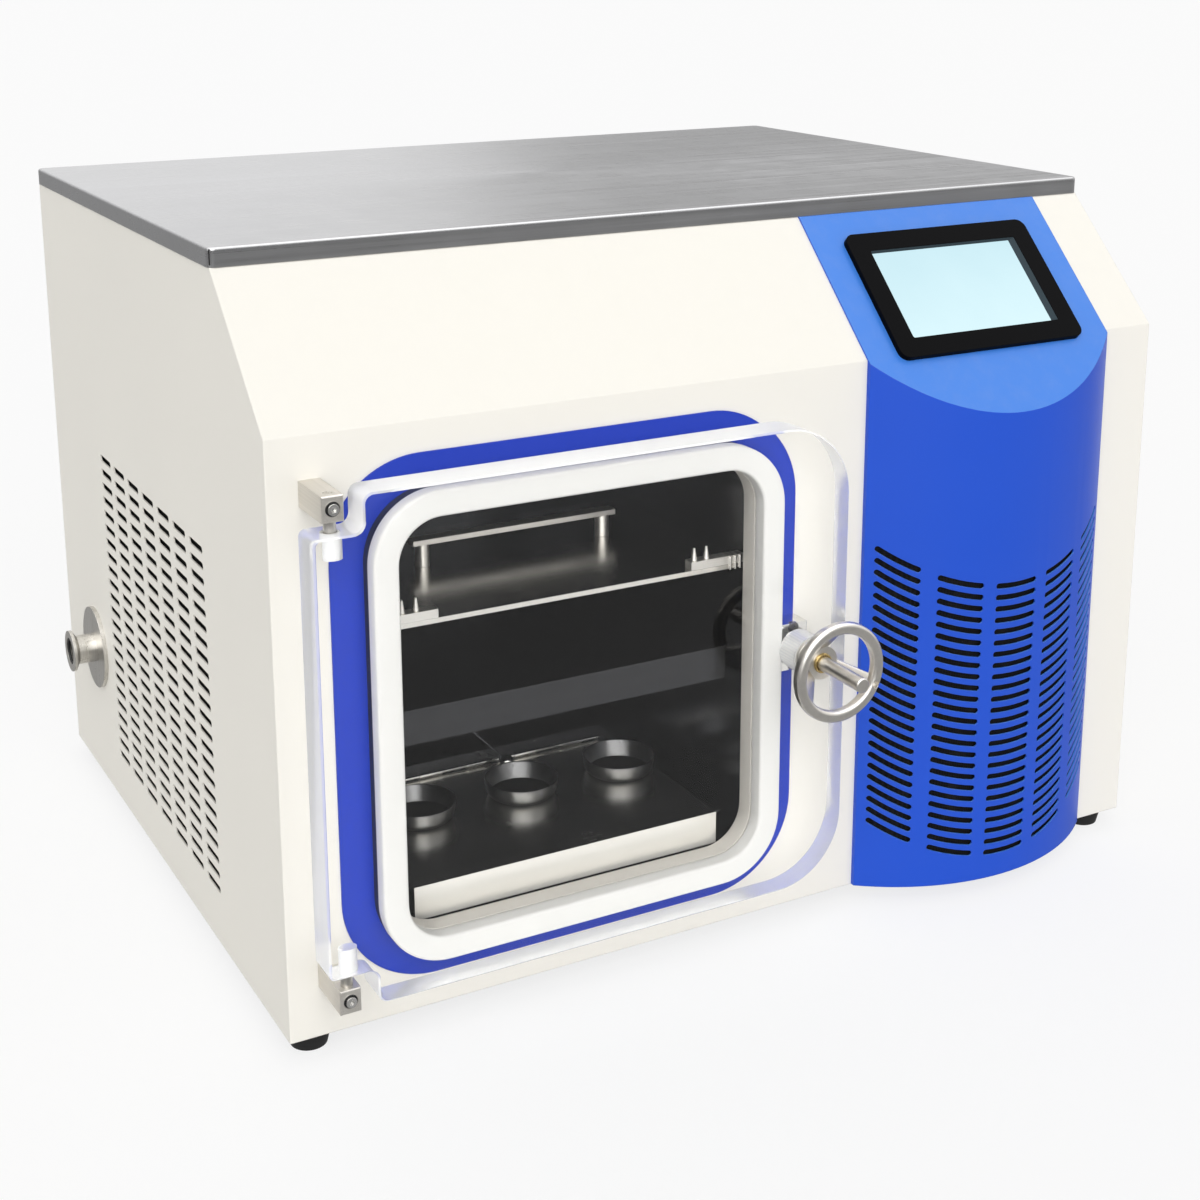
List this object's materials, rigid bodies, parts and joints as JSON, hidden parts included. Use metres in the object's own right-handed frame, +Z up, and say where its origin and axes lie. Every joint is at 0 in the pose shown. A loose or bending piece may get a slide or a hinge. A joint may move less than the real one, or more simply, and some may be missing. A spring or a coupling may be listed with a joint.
{
  "type": "freeze dryer",
  "caption": "Bench-top freeze dryer: ivory cabinet with a clear hinged door, shelved vacuum chamber, blue slotted column and sloped touch screen.",
  "frame": {"origin": "middle of the bounding box, on the surface the feet stand on", "axes": "+X to the user's right, +Y away from the user, +Z up; the door and the column face -Y"},
  "size_m": [0.861, 0.79, 0.612],
  "materials": {
    "ivory_paint": "satin powder coat",
    "blue_paint": "satin powder coat",
    "deep_blue": "satin powder coat",
    "lid_steel": "brushed",
    "steel": "satin",
    "chamber_steel": "polished inside",
    "zinc_steel": "zinc plated",
    "polished_steel": "polished",
    "hinge_steel": "satin",
    "screw_steel": "oxide",
    "seal": "matte",
    "acrylic": "polished",
    "nylon": "matte",
    "black_plastic": "satin",
    "screen": "lit",
    "dark_plastic": "matte",
    "foam": "closed-cell foam",
    "copper": "drawn",
    "compressor_paint": "satin",
    "fins": "mill",
    "board": "satin",
    "foot_rubber": "matte",
    "dish_steel": "polished",
    "red_plastic": "satin"
  },
  "bodies": {
    "cabinet": {"base_pan": "zinc_steel", "left_side_panel": "ivory_paint", "right_side_panel": "ivory_paint", "front_panel": "ivory_paint", "rear_panel": "ivory_paint", "lid": "lid_steel", "rear_thumb_screws": "screw_steel", "column_cover": "blue_paint", "screen_bezel": "black_plastic", "screen_glass": "screen", "screen_housing": "dark_plastic", "vacuum_chamber": "chamber_steel", "chamber_insulation": "foam", "evaporator_coil": "copper", "door_surround": "deep_blue", "door_gasket": "seal", "hinge_pins": "steel", "hinge_screws": "screw_steel", "hinge_block_upper": "hinge_steel", "hinge_block_lower": "hinge_steel", "clamp_keeper": "polished_steel", "keeper_screws": "screw_steel", "upper_shelf": "steel", "middle_shelf": "steel", "lower_shelf": "steel", "shelf_supports": "steel", "lift_bar": "steel", "shelf_clips": "steel", "rear_rail": "polished_steel", "temperature_probe": "polished_steel", "port_plate": "steel", "vacuum_port": "steel", "vacuum_pipe": "steel", "compressor": "compressor_paint", "compressor_grommets": "foot_rubber", "condenser": "fins", "fan_shroud": "zinc_steel", "fan_motor": "dark_plastic", "filter_drier": "copper", "refrigerant_lines": "copper", "control_board": "board", "power_supply": "zinc_steel", "power_inlet": "dark_plastic", "main_switch_housing": "dark_plastic", "foot_screws": "zinc_steel", "sample_dish_left": "dish_steel", "sample_dish_middle": "dish_steel", "sample_dish_right": "dish_steel", "foot_front_left": "foot_rubber", "foot_front_right": "foot_rubber", "foot_rear_left": "foot_rubber", "foot_rear_right": "foot_rubber"},
    "door": {"door_plate": "acrylic", "door_bushes": "nylon", "clamp_bush": "nylon", "clamp_washer": "polished_steel"},
    "clamp": {"clamp_bolt": "steel"},
    "handwheel": {"clamp_handwheel": "polished_steel"},
    "fan": {"fan_blades": "fins"},
    "switch": {"main_switch_rocker": "red_plastic"}
  },
  "joints": [
    {"name": "door_hinge", "type": "hinge", "parent": "cabinet", "child": "door", "pos_m": [-0.371, -0.308, 0.259], "axis": [0, 0, -1], "range_deg": [0, 120]},
    {"name": "clamp_turn", "type": "hinge", "parent": "door", "child": "clamp", "pos_m": [0.0285, -0.324, 0.267], "axis": [0, 1, 0], "range_deg": [0, 90]},
    {"name": "handwheel_spin", "type": "hinge", "parent": "clamp", "child": "handwheel", "pos_m": [0.0285, -0.3403, 0.267], "axis": [0, 1, 0], "continuous": true},
    {"name": "fan_spin", "type": "hinge", "parent": "cabinet", "child": "fan", "pos_m": [0.246, -0.186, 0.169], "axis": [0, 1, 0], "continuous": true},
    {"name": "main_switch", "type": "hinge", "parent": "cabinet", "child": "switch", "pos_m": [0.3565, 0.377, 0.117], "axis": [-1, 0, 0], "range_deg": [0, 9]}
  ]
}
